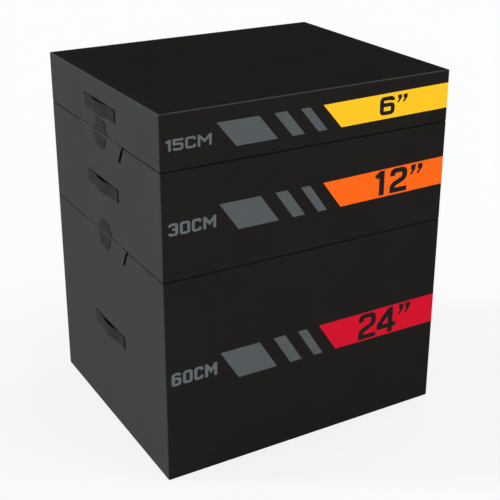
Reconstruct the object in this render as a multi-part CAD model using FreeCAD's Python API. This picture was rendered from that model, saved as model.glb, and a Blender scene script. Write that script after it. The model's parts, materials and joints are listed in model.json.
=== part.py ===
"""Soft plyo box set: three foam blocks in sewn vinyl covers, stacked and locked by side flaps.

Frame: origin at the bottom centre of the stack, X across the front, Y from front to back, Z up.
The front faces -Y. The left side, with -X, carries the same handles and flaps as the right side.
"""
import math
import os

import FreeCAD
import Part
from FreeCAD import Vector

# Driving dimensions, in millimetres

# Blocks: one footprint, three heights
box_width = 914.4
box_depth = 762.0
height_6 = 152.4
height_12 = 304.8
height_24 = 609.6

# Sewn cover
vinyl_thickness = 1.2
edge_radius = 3.0

# Foam
top_pad_thickness = 40.0
pocket_clearance = 0.5

# Webbing handles, bowed off the side panels
strap_width = 38.0
strap_thickness = 2.0
strap_gap = 0.3
strap_bend_radius = 3.0
strap_tail = 32.0
handle_span = 209.0
bow_length = 150.0
bow_rise = 7.7
slot_side_clearance = 1.0
slot_inner_clearance = 2.5
slot_outer_clearance = 3.5

# Reinforcement sewn behind each handle slot
backing_thickness = 1.2
backing_margin = 14.0

# Locking flaps on the two upper blocks
flap_top_width = 304.8
flap_bottom_width = 254.0
flap_length = 48.0
flap_thickness = 1.2
hinge_gap = 0.3
fastener_thickness = 1.0
fastener_gap = 0.1
fastener_margin = 6.0
fastener_drop = 10.0
root_seat = 1.0

# Webbing patches above and below the fold
patch_wide = 97.0
patch_narrow = 55.0
patch_height = 38.0
patch_thickness = 1.3
patch_gap = 0.2
patch_drop = 2.2

# Zip across the back of each block
zip_end_margin = 97.2
zip_rise = 45.0
zip_slot_height = 11.0
zip_end_lap = 10.0
tape_border = 9.0
tape_thickness = 0.8
tape_depth = 3.6
coil_height = 1.6
coil_thickness = 2.0
coil_gap = 1.2
zip_groove_depth = 7.4

# Zip slider and its pull
slider_length = 12.0
slider_height = 8.0
slider_plate = 1.0
slider_clearance = 0.2
slider_parking = 20.0
post_thickness = 0.8
post_length = 4.0
bridge_width = 1.6
bridge_bar = 0.5
bridge_leg = 1.0
pull_length = 26.0
pull_width = 6.0
pull_thickness = 0.8
pull_pin_radius = 0.4
pull_clearance = 0.15
pull_arm_width = 1.2

# How far a cutting solid runs past what it cuts
overrun = 20.0

# Derived places
half_width = box_width / 2
half_depth = box_depth / 2
base_24 = 0.0
base_12 = base_24 + height_24
base_6 = base_12 + height_12
blocks = {"24": (base_24, height_24), "12": (base_12, height_12), "6": (base_6, height_6)}
flap_offset = fastener_thickness + fastener_gap + fastener_thickness
flap_face = flap_offset + flap_thickness
leg_place = handle_span / 2
zip_length = box_width - 2 * zip_end_margin
strap_level = strap_gap + strap_thickness / 2
coil_front = tape_depth + (tape_thickness - coil_thickness) / 2
coil_back = coil_front + coil_thickness
slider_front = coil_front - slider_clearance - slider_plate
slider_back = coil_back + slider_clearance + slider_plate
parts = {}


def block(low, high):
    """A box between two corners."""
    size = high - low
    return Part.makeBox(size.x, size.y, size.z, low)


def rounded_block(low, high, radius):
    """A box between two corners, with every edge rounded."""
    sharp = block(low, high)
    return sharp.makeFillet(radius, sharp.Edges)


def mirrored(shape):
    """The same shape on the left side."""
    return shape.mirror(Vector(0, 0, 0), Vector(1, 0, 0))


def both_sides(shapes):
    """Shapes made for the right side, with their left-hand twins, as one group."""
    return Part.makeCompound(shapes + [mirrored(shape) for shape in shapes])


def corners(base, height, inset):
    """Lowest and highest corner of a block, drawn in by an inset."""
    low = Vector(-half_width + inset, -half_depth + inset, base + inset)
    high = Vector(half_width - inset, half_depth - inset, base + height - inset)
    return low, high


def face_ring(base, height, face, inset):
    """A rectangle as far inside one face of a block as it lies inside that face's borders."""
    low, high = corners(base, height, inset)
    x0, y0, z0 = low
    x1, y1, z1 = high
    points = {
        "top": [(x0, y0, z1), (x1, y0, z1), (x1, y1, z1), (x0, y1, z1)],
        "bottom": [(x0, y0, z0), (x1, y0, z0), (x1, y1, z0), (x0, y1, z0)],
        "front": [(x0, y0, z0), (x1, y0, z0), (x1, y0, z1), (x0, y0, z1)],
        "back": [(x0, y1, z0), (x1, y1, z0), (x1, y1, z1), (x0, y1, z1)],
        "left": [(x0, y0, z0), (x0, y1, z0), (x0, y1, z1), (x0, y0, z1)],
        "right": [(x1, y0, z0), (x1, y1, z0), (x1, y1, z1), (x1, y0, z1)],
    }[face]
    ring = [Vector(*point) for point in points]
    return Part.makePolygon(ring + ring[:1])


def side_plate(widths, rises, offset, thickness):
    """A four-sided plate on the right side: its width at two heights, its stand-off and its thickness."""
    x = half_width + offset
    ring = [
        Vector(x, -widths[0] / 2, rises[0]),
        Vector(x, widths[0] / 2, rises[0]),
        Vector(x, widths[1] / 2, rises[1]),
        Vector(x, -widths[1] / 2, rises[1]),
    ]
    return Part.Face(Part.makePolygon(ring + ring[:1])).extrude(Vector(thickness, 0, 0))


def handle_cut(middle, depth, grow):
    """Solids through the right-hand handle's two slots, to a depth below the panel's outer face."""
    start = leg_place - strap_bend_radius - slot_inner_clearance / 2 - grow
    end = leg_place + strap_thickness / 2 + slot_outer_clearance + grow
    reach = strap_width / 2 + slot_side_clearance + grow
    cuts = []
    for first, last in ((start, end), (-end, -start)):
        low = Vector(half_width - depth, first, middle - reach)
        high = Vector(half_width + overrun, last, middle + reach)
        cuts.append(block(low, high))
    return cuts


def backing_plates(middle, clearance):
    """Reinforcement plates behind the right-hand slots, or the room for them with a clearance."""
    outer = half_width - vinyl_thickness
    reach = strap_width / 2 + backing_margin + clearance
    start = leg_place - strap_bend_radius - backing_margin - clearance
    end = leg_place + strap_thickness / 2 + slot_outer_clearance + backing_margin + clearance
    plates = []
    for first, last in ((start, end), (-end, -start)):
        low = Vector(outer - backing_thickness - clearance, first, middle - reach)
        plates.append(block(low, Vector(outer, last, middle + reach)))
    return plates


def zip_slot(base):
    """The opening in the back panel above the coil."""
    middle = base + zip_rise
    low = Vector(-zip_length / 2, half_depth - zip_groove_depth, middle - zip_slot_height / 2)
    high = Vector(zip_length / 2, half_depth + overrun, middle + zip_slot_height / 2)
    return block(low, high)


def zip_groove(base):
    """The room in the foam behind the tapes."""
    reach = zip_slot_height / 2 + tape_border + pocket_clearance
    end = zip_length / 2 + zip_end_lap + pocket_clearance
    low = Vector(-end, half_depth - zip_groove_depth, base + zip_rise - reach)
    high = Vector(end, half_depth + overrun, base + zip_rise + reach)
    return block(low, high)


def make_cover(name, base, height):
    """Six sewn panels with mitred, rounded edges, slotted for the handles and the zip."""
    outer = rounded_block(*corners(base, height, 0), edge_radius)
    inner = rounded_block(*corners(base, height, vinyl_thickness), edge_radius - vinyl_thickness)
    shell = outer.cut(inner)
    middle = base + height / 2
    through = vinyl_thickness * 2
    right_slots = handle_cut(middle, through, 0)
    cuts = {
        "right": right_slots,
        "left": [mirrored(slot) for slot in right_slots],
        "back": [zip_slot(base)],
    }
    for face in ("top", "bottom", "front", "back", "left", "right"):
        rings = [face_ring(base, height, face, inset) for inset in (-edge_radius, edge_radius * 2)]
        panel = shell.common(Part.makeLoft(rings, True, True))
        for cut in cuts.get(face, []):
            panel = panel.cut(cut)
        parts["cover_" + name + "_" + face] = panel


def make_foam(name, base, height):
    """A firm core under a softer pad, with pockets for the strap tails, their backing and the zip."""
    middle = base + height / 2
    low, high = corners(base, height, vinyl_thickness)
    filling = rounded_block(low, high, edge_radius)
    tail_depth = strap_tail + pocket_clearance
    pockets = handle_cut(middle, tail_depth, pocket_clearance) + backing_plates(middle, pocket_clearance)
    for pocket in pockets + [mirrored(pocket) for pocket in pockets] + [zip_groove(base)]:
        filling = filling.cut(pocket)
    split = high.z - top_pad_thickness
    below = block(low, Vector(high.x, high.y, split))
    above = block(Vector(low.x, low.y, split), high)
    parts["foam_core_" + name] = filling.common(below)
    parts["top_pad_" + name] = filling.common(above)


def arc(centre, radius, start, end):
    """An arc in plan, as (out of the face, along the face), between two angles in radians."""
    points = []
    for angle in (start, (start + end) / 2, end):
        points.append(Vector(centre[0] + radius * math.sin(angle), centre[1] + radius * math.cos(angle), 0))
    return Part.Arc(*points).toShape()


def strap_edges(shift):
    """One face of the right half of a strap, from its tail to the top of the bow."""
    half = bow_length / 2
    turn = 2 * math.atan(bow_rise / half)
    sweep = half / (2 * math.sin(turn))
    bend_middle = (strap_level - strap_bend_radius, leg_place - strap_bend_radius)
    foot = (strap_level + sweep, half)
    crown = (strap_level + bow_rise - sweep, 0)
    outside = leg_place + shift
    level = strap_level + shift
    right_angle = math.pi / 2
    return [
        Part.makeLine(Vector(-strap_tail, outside, 0), Vector(bend_middle[0], outside, 0)),
        arc(bend_middle, strap_bend_radius + shift, 0, right_angle),
        Part.makeLine(Vector(level, bend_middle[1], 0), Vector(level, half, 0)),
        arc(foot, sweep - shift, -right_angle, -right_angle - turn),
        arc(crown, sweep + shift, right_angle - turn, right_angle),
    ]


def make_handle(name, base, height):
    """A webbing strap for each side, and the plates that back its slots."""
    middle = base + height / 2
    edges = []
    for shift in (strap_thickness / 2, -strap_thickness / 2):
        half = strap_edges(shift)
        other = [edge.mirror(Vector(0, 0, 0), Vector(0, 1, 0)) for edge in half]
        edges += half + other
    for side in (1, -1):
        outer = Vector(-strap_tail, side * (leg_place + strap_thickness / 2), 0)
        inner = Vector(-strap_tail, side * (leg_place - strap_thickness / 2), 0)
        edges.append(Part.makeLine(outer, inner))
    outline = Part.Wire(Part.__sortEdges__(edges))
    strap = Part.Face(outline).extrude(Vector(0, 0, strap_width))
    strap.translate(Vector(half_width, 0, middle - strap_width / 2))
    parts["handle_strap_" + name + "_right"] = strap
    parts["handle_strap_" + name + "_left"] = mirrored(strap)
    plates = backing_plates(middle, 0)
    slots = handle_cut(middle, overrun, 0)
    parts["handle_backing_" + name] = both_sides([plate.cut(slot) for plate, slot in zip(plates, slots)])


def fastener(seam, offset):
    """Hook or loop pad behind the right-hand flap, clear of the rounded edge and of the flap's border."""
    taper = (flap_top_width - flap_bottom_width) / flap_length
    first = fastener_drop
    last = flap_length - fastener_margin
    widths = [flap_top_width - 2 * fastener_margin - taper * drop for drop in (first, last)]
    return side_plate(widths, (seam - first, seam - last), offset, fastener_thickness)


def make_flap(name, lower, base):
    """Flaps on the block's lower edge, which fasten over the seam onto the block below."""
    flap_widths = (flap_top_width, flap_bottom_width)
    flap = side_plate(flap_widths, (base, base - flap_length), flap_offset, flap_thickness)
    hook = fastener(base, fastener_thickness + fastener_gap)
    pull_rises = (base - patch_drop, base - patch_drop - patch_height)
    pull = side_plate((patch_wide, patch_narrow), pull_rises, flap_face, patch_thickness)
    for side, turn in (("right", lambda shape: shape), ("left", mirrored)):
        parts["flap_" + name + "_" + side] = turn(flap)
        parts["flap_hook_" + name + "_" + side] = turn(hook)
        parts["flap_patch_" + name + "_" + side] = turn(pull)
    root_top = base + edge_radius + root_seat
    root = side_plate((flap_top_width, flap_top_width), (base + hinge_gap, root_top), 0, flap_face)
    anchor_rises = (root_top + patch_gap, root_top + patch_gap + patch_height)
    anchor = side_plate((patch_wide, patch_narrow), anchor_rises, 0, patch_thickness)
    parts["flap_anchor_" + name] = both_sides([root, anchor])
    parts["flap_loop_" + lower] = both_sides([fastener(base, 0)])


def zip_tape(base, side):
    """One tape: a turned border sewn behind the panel, a thin web and half of the coil."""
    edge = zip_slot_height / 2
    rises = {
        "coil_start": coil_gap / 2,
        "coil_end": coil_gap / 2 + coil_height,
        "border_start": edge,
        "border_end": edge + tape_border,
    }
    depths = {"panel": vinyl_thickness, "web": tape_depth, "back": tape_depth + tape_thickness}
    outline = [
        (depths["panel"], rises["border_start"]),
        (depths["panel"], rises["border_end"]),
        (depths["back"], rises["border_end"]),
        (depths["back"], rises["coil_end"]),
        (coil_back, rises["coil_end"]),
        (coil_back, rises["coil_start"]),
        (coil_front, rises["coil_start"]),
        (coil_front, rises["coil_end"]),
        (depths["web"], rises["coil_end"]),
        (depths["web"], rises["border_start"]),
    ]
    start = -zip_length / 2 - zip_end_lap
    middle = base + zip_rise
    ring = [Vector(start, half_depth - depth, middle + side * rise) for depth, rise in outline]
    return Part.Face(Part.makePolygon(ring + ring[:1])).extrude(Vector(zip_length + 2 * zip_end_lap, 0, 0))


def make_zip(name, base):
    """Two tapes with their coil, a slider that straddles it, and a pull held by the slider's bridge."""
    parts["zip_tapes_" + name] = Part.makeCompound([zip_tape(base, side) for side in (1, -1)])
    middle = base + zip_rise
    place = -zip_length / 2 + slider_parking
    first = place - slider_length / 2
    last = place + slider_length / 2
    reach = slider_height / 2

    def layer(start, end, shallow, deep, half_height):
        """A box between two depths below the back face."""
        low = Vector(start, half_depth - deep, middle - half_height)
        return block(low, Vector(end, half_depth - shallow, middle + half_height))

    pin_depth = slider_front - pull_clearance - pull_thickness / 2
    arch_back = pin_depth - pull_pin_radius - pull_clearance
    arch_front = arch_back - bridge_bar
    arch_start = place - pull_pin_radius - pull_clearance
    arch_end = place + pull_pin_radius + pull_clearance
    half_bridge = bridge_width / 2
    slider = layer(first, last, slider_front, slider_front + slider_plate, reach)
    solids = [
        layer(first, last, slider_back - slider_plate, slider_back, reach),
        layer(first, first + post_length, slider_front, slider_back, post_thickness / 2),
        layer(arch_start - bridge_leg, arch_start, arch_front, slider_front + slider_plate, half_bridge),
        layer(arch_end, arch_end + bridge_leg, arch_front, slider_front + slider_plate, half_bridge),
        layer(arch_start - bridge_leg, arch_end + bridge_leg, arch_front, arch_back, half_bridge),
    ]
    for solid in solids:
        slider = slider.fuse(solid)
    parts["zip_slider_" + name] = slider.removeSplitter()

    arm_start = half_bridge + pull_clearance
    arm_end = arm_start + pull_arm_width
    shallow = pin_depth - pull_thickness / 2
    deep = pin_depth + pull_thickness / 2
    window_end = place + math.hypot(arch_end + bridge_leg - place, pin_depth - arch_front) + pull_clearance
    pin_low = Vector(place, half_depth - pin_depth, middle - arm_end)
    pull = Part.makeCylinder(pull_pin_radius, 2 * arm_end, pin_low)
    plate = layer(window_end, place + pull_length, shallow, deep, pull_width / 2)
    arms = layer(place, window_end, shallow, deep, arm_end).cut(
        layer(place, window_end, shallow, deep, arm_start))
    parts["zip_pull_" + name] = pull.fuse([plate, arms]).removeSplitter()


for name, (base, height) in blocks.items():
    make_cover(name, base, height)
    make_foam(name, base, height)
    make_handle(name, base, height)
    make_zip(name, base)
make_flap("12", "24", base_12)
make_flap("6", "12", base_6)

os.makedirs("parts", exist_ok=True)
for node, shape in parts.items():
    shape.exportStep("parts/" + node + ".step")
    print(node, len(shape.Solids), shape.isValid(), round(shape.Volume))
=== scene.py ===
# %% [markdown]
# This lesson dresses a set of three soft plyo boxes: foam blocks in sewn vinyl covers, stacked
# with the tallest at the bottom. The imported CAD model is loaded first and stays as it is. It
# gives the places and the moving bodies, and every piece made here is fitted to it, in metres.

# %% Load the frame
import json
import math

import bmesh
import bpy
from mathutils import Matrix, Vector

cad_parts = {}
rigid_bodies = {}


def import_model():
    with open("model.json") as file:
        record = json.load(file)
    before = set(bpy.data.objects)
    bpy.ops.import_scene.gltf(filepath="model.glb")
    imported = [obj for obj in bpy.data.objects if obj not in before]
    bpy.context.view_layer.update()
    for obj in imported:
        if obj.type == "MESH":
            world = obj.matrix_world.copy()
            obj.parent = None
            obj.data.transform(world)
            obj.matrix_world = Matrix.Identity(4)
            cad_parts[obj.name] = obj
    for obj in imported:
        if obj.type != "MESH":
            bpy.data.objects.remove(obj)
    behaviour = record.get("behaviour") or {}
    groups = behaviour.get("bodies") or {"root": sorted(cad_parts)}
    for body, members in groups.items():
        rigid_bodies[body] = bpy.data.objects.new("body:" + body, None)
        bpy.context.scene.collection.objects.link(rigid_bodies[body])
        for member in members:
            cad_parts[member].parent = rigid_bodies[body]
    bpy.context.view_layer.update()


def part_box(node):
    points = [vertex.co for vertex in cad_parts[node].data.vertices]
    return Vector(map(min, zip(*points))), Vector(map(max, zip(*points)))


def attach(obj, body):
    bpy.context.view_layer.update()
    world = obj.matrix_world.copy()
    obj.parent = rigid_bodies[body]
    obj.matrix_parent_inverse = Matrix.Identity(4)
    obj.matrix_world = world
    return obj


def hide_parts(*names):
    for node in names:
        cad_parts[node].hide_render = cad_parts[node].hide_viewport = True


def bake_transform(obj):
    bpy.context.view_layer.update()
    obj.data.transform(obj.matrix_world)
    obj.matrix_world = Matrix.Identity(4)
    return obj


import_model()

# %% [markdown]
# The three blocks share one footprint. Their boxes are read from the CAD panels, so a block
# that changes there changes here too.

# %% Measure the blocks
blocks = {}
for name in ("24", "12", "6"):
    low_faces = [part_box(f"cover_{name}_{face}")[0] for face in ("left", "front", "bottom")]
    high_faces = [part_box(f"cover_{name}_{face}")[1] for face in ("right", "back", "top")]
    low = Vector([corner[axis] for axis, corner in enumerate(low_faces)])
    high = Vector([corner[axis] for axis, corner in enumerate(high_faces)])
    blocks[name] = (low, high)
half_width = blocks["24"][1].x
half_depth = blocks["24"][1].y
print({name: round((high - low).z, 4) for name, (low, high) in blocks.items()})

# %% [markdown]
# The camera stands where the photograph was taken from: to the left of the front and above the
# top, looking down. A long lens keeps the sides from running together quickly, and a small lens
# shift frames the stack as in the photograph without turning the camera.

# %% Set the camera
camera_place = (-1.50228, -2.63202, 1.80512)
azimuth, elevation, roll = -30.0908, 21.3590, 0.1612
bpy.ops.object.camera_add(location=camera_place)
camera = bpy.context.object
camera.rotation_euler = (math.radians(90 - elevation), 0, math.radians(azimuth))
camera.rotation_euler.rotate_axis("Z", math.radians(roll))
camera.data.lens = 75.988
camera.data.sensor_width = 36
camera.data.shift_y = -0.095
bpy.context.scene.camera = camera
print("camera at", [round(v, 3) for v in camera.location])

# %% [markdown]
# Finishes are built from shader nodes. This small class lets a socket take part in Python
# arithmetic, so a pattern reads like a formula: each operator adds one Math node, and add()
# makes any other node from its type, its settings and its inputs.

# %% A wire for shader formulas
class Wire:
    """A shader socket that can be used in a formula."""

    def __init__(self, tree, socket=None):
        self.tree = tree
        self.socket = socket

    def add(self, kind, settings=None, inputs=None, output=0):
        node = self.tree.nodes.new(kind)
        for key, value in (settings or {}).items():
            setattr(node, key, value)
        for key, value in (inputs or {}).items():
            if isinstance(value, Wire):
                self.tree.links.new(value.socket, node.inputs[key])
            else:
                node.inputs[key].default_value = value
        return Wire(self.tree, node.outputs[output])

    def math(self, operation, *values):
        return self.add("ShaderNodeMath", {"operation": operation}, dict(enumerate(values)))

    def __add__(self, other):
        return self.math("ADD", self, other)

    def __radd__(self, other):
        return self.math("ADD", other, self)

    def __sub__(self, other):
        return self.math("SUBTRACT", self, other)

    def __rsub__(self, other):
        return self.math("SUBTRACT", other, self)

    def __mul__(self, other):
        return self.math("MULTIPLY", self, other)

    def __rmul__(self, other):
        return self.math("MULTIPLY", other, self)

    def noise(self, place, scale, detail=2.0):
        inputs = {"Vector": place, "Scale": scale, "Detail": detail}
        return self.add("ShaderNodeTexNoise", None, inputs)

    def cells(self, place, size):
        inputs = {"Vector": place, "Scale": 1 / size}
        return self.add("ShaderNodeTexVoronoi", {"feature": "F1"}, inputs)

    def step(self, value, start, end):
        inputs = {"Value": value, "From Min": start, "From Max": end}
        return self.add("ShaderNodeMapRange", {"interpolation_type": "SMOOTHSTEP"}, inputs)

    def mix(self, factor, first, second):
        # A Mix node has its colours at inputs 6 and 7 and their mix at output 2.
        return self.add("ShaderNodeMix", {"data_type": "RGBA"}, {0: factor, 6: first, 7: second}, 2)

    def bump(self, height, strength, distance):
        inputs = {"Height": height, "Strength": strength, "Distance": distance}
        return self.add("ShaderNodeBump", None, inputs)

    def into(self, shader, name):
        self.tree.links.new(self.socket, shader.inputs[name])


def new_finish(name, **constants):
    """A material, a wire to build its pattern with, its surface place and its shader."""
    material = bpy.data.materials.new(name)
    material.use_nodes = True
    pen = Wire(material.node_tree)
    shader = material.node_tree.nodes["Principled BSDF"]
    for key, value in constants.items():
        shader.inputs[key.replace("_", " ")].default_value = value
    place = pen.add("ShaderNodeTexCoord", output="Object")
    return material, pen, place, shader


def shade(colour, factor):
    """A colour, lighter or darker, as shader sockets take it."""
    return (*(part * factor for part in colour), 1.0)


print("shader formulas ready")

# %% [markdown]
# The stage is a wide pale floor. Its finish is matte with a faint mottle and shows the shadow
# of the boxes. Rays that show the background, straight or mirrored, also see a white glow mixed
# in, so it stays near white without more light on the boxes.

# %% Lay the floor
def background_rays(pen):
    """1 for the rays that show the background, 0 for those that light the boxes."""
    names = ("Is Camera Ray", "Is Glossy Ray", "Is Transmission Ray")
    straight, mirrored, through = (pen.add("ShaderNodeLightPath", output=name) for name in names)
    return pen.math("MINIMUM", straight + mirrored + through, 1.0)


floor_width = 240
glow_share = 0.8
bpy.ops.object.select_all(action="DESELECT")
bpy.ops.mesh.primitive_plane_add(size=floor_width)
floor = bpy.context.object
floor.name = "floor"
floor_finish, pen, place, shader = new_finish("floor", Roughness=1.0, Specular_IOR_Level=0.0)
mottle = pen.noise(place, 3.0)
pen.mix(mottle, (0.95, 0.95, 0.95, 1), (0.97, 0.97, 0.97, 1)).into(shader, "Base Color")
glow = pen.add("ShaderNodeEmission", None, {"Color": (1, 1, 1, 1), "Strength": 1.0})
matte = Wire(pen.tree, shader.outputs[0])
blend = {0: glow_share * background_rays(pen), 1: matte, 2: glow}
pen.add("ShaderNodeMixShader", None, blend).into(pen.tree.nodes["Material Output"], "Surface")
floor.data.materials.append(floor_finish)
print("floor", tuple(floor.dimensions))

# %% [markdown]
# The light is plain and soft: an even surround, a broad lamp high over the front that draws the
# edges, a weak fill from the front, and a cool low key from the left and behind. The key makes the
# left sides the lightest, as in the photograph, and shades the bow of their straps, while the
# front and the top render as their colours are written. A low lamp from the right and behind draws
# the sides that the photograph doesn't show. A sun of strength pi lights a white surface to white.

# %% Light the stage
world = bpy.data.worlds.new("surround")
bpy.context.scene.world = world
world.use_nodes = True
sky = world.node_tree.nodes["Background"]
sky.inputs["Color"].default_value = (1, 1, 1, 1)
surround = 0.42
(surround + (1 - surround) * background_rays(Wire(world.node_tree))).into(sky, "Strength")


def add_lamp(name, direction, level, softness, colour):
    """A soft distant lamp that shines from a direction."""
    bpy.ops.object.light_add(type="SUN")
    lamp = bpy.context.object
    lamp.name = name
    lamp.rotation_euler = Vector(direction).to_track_quat("Z", "Y").to_euler()
    lamp.data.energy = level * math.pi
    lamp.data.angle = math.radians(softness)
    lamp.data.color = colour
    print(name, [round(v, 2) for v in lamp.rotation_euler])


add_lamp("overhead_lamp", (0.45, -0.4, 0.8), 0.26, 40, (1.0, 0.98, 0.95))
add_lamp("front_fill", (0.1, -1.0, 0.08), 0.31, 8, (1.0, 1.0, 1.0))
add_lamp("left_key", (-1.0, 0.6, 0.05), 5.1, 8, (0.885, 0.98, 1.17))
add_lamp("back_fill", (1.0, 0.3, 0.03), 2.0, 6, (1.0, 1.0, 1.0))
bpy.context.scene.view_settings.view_transform = "Standard"

# %% [markdown]
# The vinyl is a coated fabric with a fine pebble grain. On the flats it is nearly matte. On the
# landing edge it is rubbed smooth and catches the light, and in the joints between the blocks its
# colour is painted darker as painted shade. An attribute on the mesh says which: above zero it is
# polished, below zero it carries the painted shade, so both follow the rounding exactly.

# %% Mix the vinyl
def pebble_grain(pen, place):
    """The pebbles pressed into the vinyl, which the inks on it take on."""
    inputs = {"Vector": place, "Scale": 650.0, "Smoothness": 0.7}
    return pen.add("ShaderNodeTexVoronoi", {"feature": "SMOOTH_F1"}, inputs)


def vinyl_finish(name, colour):
    """A pebbled coat with scuffs, polished or painted darker as shade where the mesh says so."""
    coat = {"Coat_Roughness": 0.18, "Coat_IOR": 1.7}
    material, pen, place, shader = new_finish(name, Specular_IOR_Level=0.0, **coat)
    pebble = pebble_grain(pen, place)
    pores = pen.noise(place, 2200.0)
    cloud = pen.noise(place, 7.0, 3.0)
    scuff = pen.step(pen.noise(place, 38.0, 6.0), 0.6, 0.85)
    wear = pen.add("ShaderNodeAttribute", {"attribute_name": "polish_and_painted_shade"}, output="Fac")
    polish = pen.math("MAXIMUM", wear, 0.0)
    painted_joint_shade = pen.math("MAXIMUM", 0.0 - wear, 0.0)
    body = pen.mix(cloud, shade(colour, 1.04), shade(colour, 1.26))
    grain = pen.mix(pebble * 0.6, body, shade(colour, 0.6))
    worn = pen.mix(scuff * 0.12, grain, shade(colour, 2.4))
    # Painted shade: where the attribute is below zero, in the joints between blocks, the colour is
    # darkened to 0.35.
    pen.mix(painted_joint_shade, worn, shade(colour, 0.35)).into(shader, "Base Color")
    (0.58 + 0.14 * cloud - 0.1 * polish).into(shader, "Roughness")
    (polish * (0.75 + 0.25 * pores)).into(shader, "Coat Weight")
    pen.bump(pores * 0.3 - pebble * 0.7, 0.6, 0.0005).into(shader, "Normal")
    return material


vinyl_black = (0.0144, 0.0137, 0.0123)
black_vinyl = vinyl_finish("black_vinyl", vinyl_black)
print("vinyl ready:", len(black_vinyl.node_tree.nodes), "nodes")

# %% [markdown]
# Modelling goes on in edit mode. An operator acts on all that is selected, so these helpers single
# out one piece, open it and select in it by place. Places that differ by less than the first two
# values count as the same point and the same level, and by more than the third as apart.

# %% Open a piece and select in it
same_point = 0.00001
same_level = 0.0001
well_apart = 0.001


def deselect():
    """Leaves no piece selected."""
    bpy.ops.object.select_all(action="DESELECT")


def single_out(piece):
    """Makes a piece the only one selected, and the active one."""
    deselect()
    piece.select_set(True)
    bpy.context.view_layer.objects.active = piece


def edit(piece):
    """Opens one piece in edit mode, with nothing selected."""
    single_out(piece)
    bpy.ops.object.mode_set(mode="EDIT")
    bpy.ops.mesh.select_all(action="DESELECT")


def close():
    """Leaves edit mode."""
    bpy.ops.object.mode_set(mode="OBJECT")


def pick_all():
    """Selects all of the open piece."""
    bpy.ops.mesh.select_all(action="SELECT")


def face_outwards():
    """Turns the faces of the open piece outwards."""
    pick_all()
    bpy.ops.mesh.normals_make_consistent(inside=False)


def weld():
    """Joins the vertices of the open piece that are at the same point."""
    pick_all()
    bpy.ops.mesh.remove_doubles(threshold=same_point)


def pick(kind, test):
    """Selects the vertices, edges or faces of the open piece whose middle passes a test."""
    bpy.ops.mesh.select_mode(type=kind)
    bpy.ops.mesh.select_all(action="DESELECT")
    mesh = bmesh.from_edit_mesh(bpy.context.edit_object.data)
    parts = {"VERT": mesh.verts, "EDGE": mesh.edges, "FACE": mesh.faces}[kind]
    for part in parts:
        corners = [part.co] if kind == "VERT" else [vertex.co for vertex in part.verts]
        if test(sum(corners, Vector()) / len(corners), part):
            part.select_set(True)
    mesh.select_flush_mode()
    bmesh.update_edit_mesh(bpy.context.edit_object.data)


print("same point within", same_point, "m")

# %% [markdown]
# Every piece starts from a primitive and ends with its modifiers applied, its finish on and its
# place in its mesh, so that the object itself stays at the origin as the CAD nodes do. Smooth
# shading stops at the sharp edges, which are rounded by a bevel where they would show.

# %% Start a piece and finish it
sharp_angle = math.radians(50)
smooth_angle = math.radians(40)


def name_piece(piece, name):
    """Gives a piece and its mesh one name."""
    piece.name = name
    piece.data.name = name


def settle():
    """Moves the place, turn and scale of what is selected into its mesh."""
    bpy.ops.object.transform_apply(location=True, rotation=True, scale=True)


def start_block(name, low, high):
    """A cuboid between two corners, the start of a shaped piece."""
    deselect()
    low, high = Vector(low), Vector(high)
    bpy.ops.mesh.primitive_cube_add(size=1, location=(low + high) / 2)
    piece = bpy.context.object
    name_piece(piece, name)
    piece.scale = high - low
    settle()
    return piece


def harden(piece, kind, **settings):
    """Adds a modifier and applies it."""
    bpy.context.view_layer.objects.active = piece
    modifier = piece.modifiers.new(kind.lower(), kind)
    for key, value in settings.items():
        setattr(modifier, key, value)
    bpy.ops.object.modifier_apply(modifier=modifier.name)


def soften(piece, width, segments):
    """Rounds the sharp edges of a piece."""
    limits = {"limit_method": "ANGLE", "angle_limit": sharp_angle}
    harden(piece, "BEVEL", width=width, segments=segments, **limits)


def dress(piece, finish):
    """Gives a piece its finish and smooth shading up to an angle."""
    single_out(piece)
    bpy.ops.object.shade_smooth_by_angle(angle=smooth_angle)
    piece.data.materials.clear()
    piece.data.materials.append(finish)


print("edges up to", round(math.degrees(smooth_angle)), "degrees are shaded smooth")

# %% [markdown]
# Each cover is six panels that meet at a seam on the middle of the rounded edge. The whole
# cover starts as one block: its sides are divided evenly, its twelve edges are bevelled, and
# the middle line of each bevel is pulled in a little as the sewn seam. Then it is taken apart
# into panels, which is simpler than rounding six loose sheets to meet. The table gives each
# face's axis and the way that it looks along it.

# %% Round the covers and part their panels
edge_radius = 0.003
seam_depth = 0.0005
grid = 0.03
directions = {
    "top": (2, 1), "bottom": (2, -1), "front": (1, -1),
    "back": (1, 1), "left": (0, -1), "right": (0, 1),
}


def nearest_face(place, low, high):
    """The name of the block's face that lies nearest to a place."""
    gaps = {}
    for face, (axis, sign) in directions.items():
        gaps[face] = high[axis] - place[axis] if sign > 0 else place[axis] - low[axis]
    return min(gaps, key=gaps.get)


def edge_depths(place, low, high):
    """How far a place lies in the rounding zone, for each axis, the deepest last."""
    depths = []
    for axis in range(3):
        from_low = low[axis] + edge_radius - place[axis]
        from_high = place[axis] - high[axis] + edge_radius
        depths.append(max(from_low, from_high))
    return sorted(depths)


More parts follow.
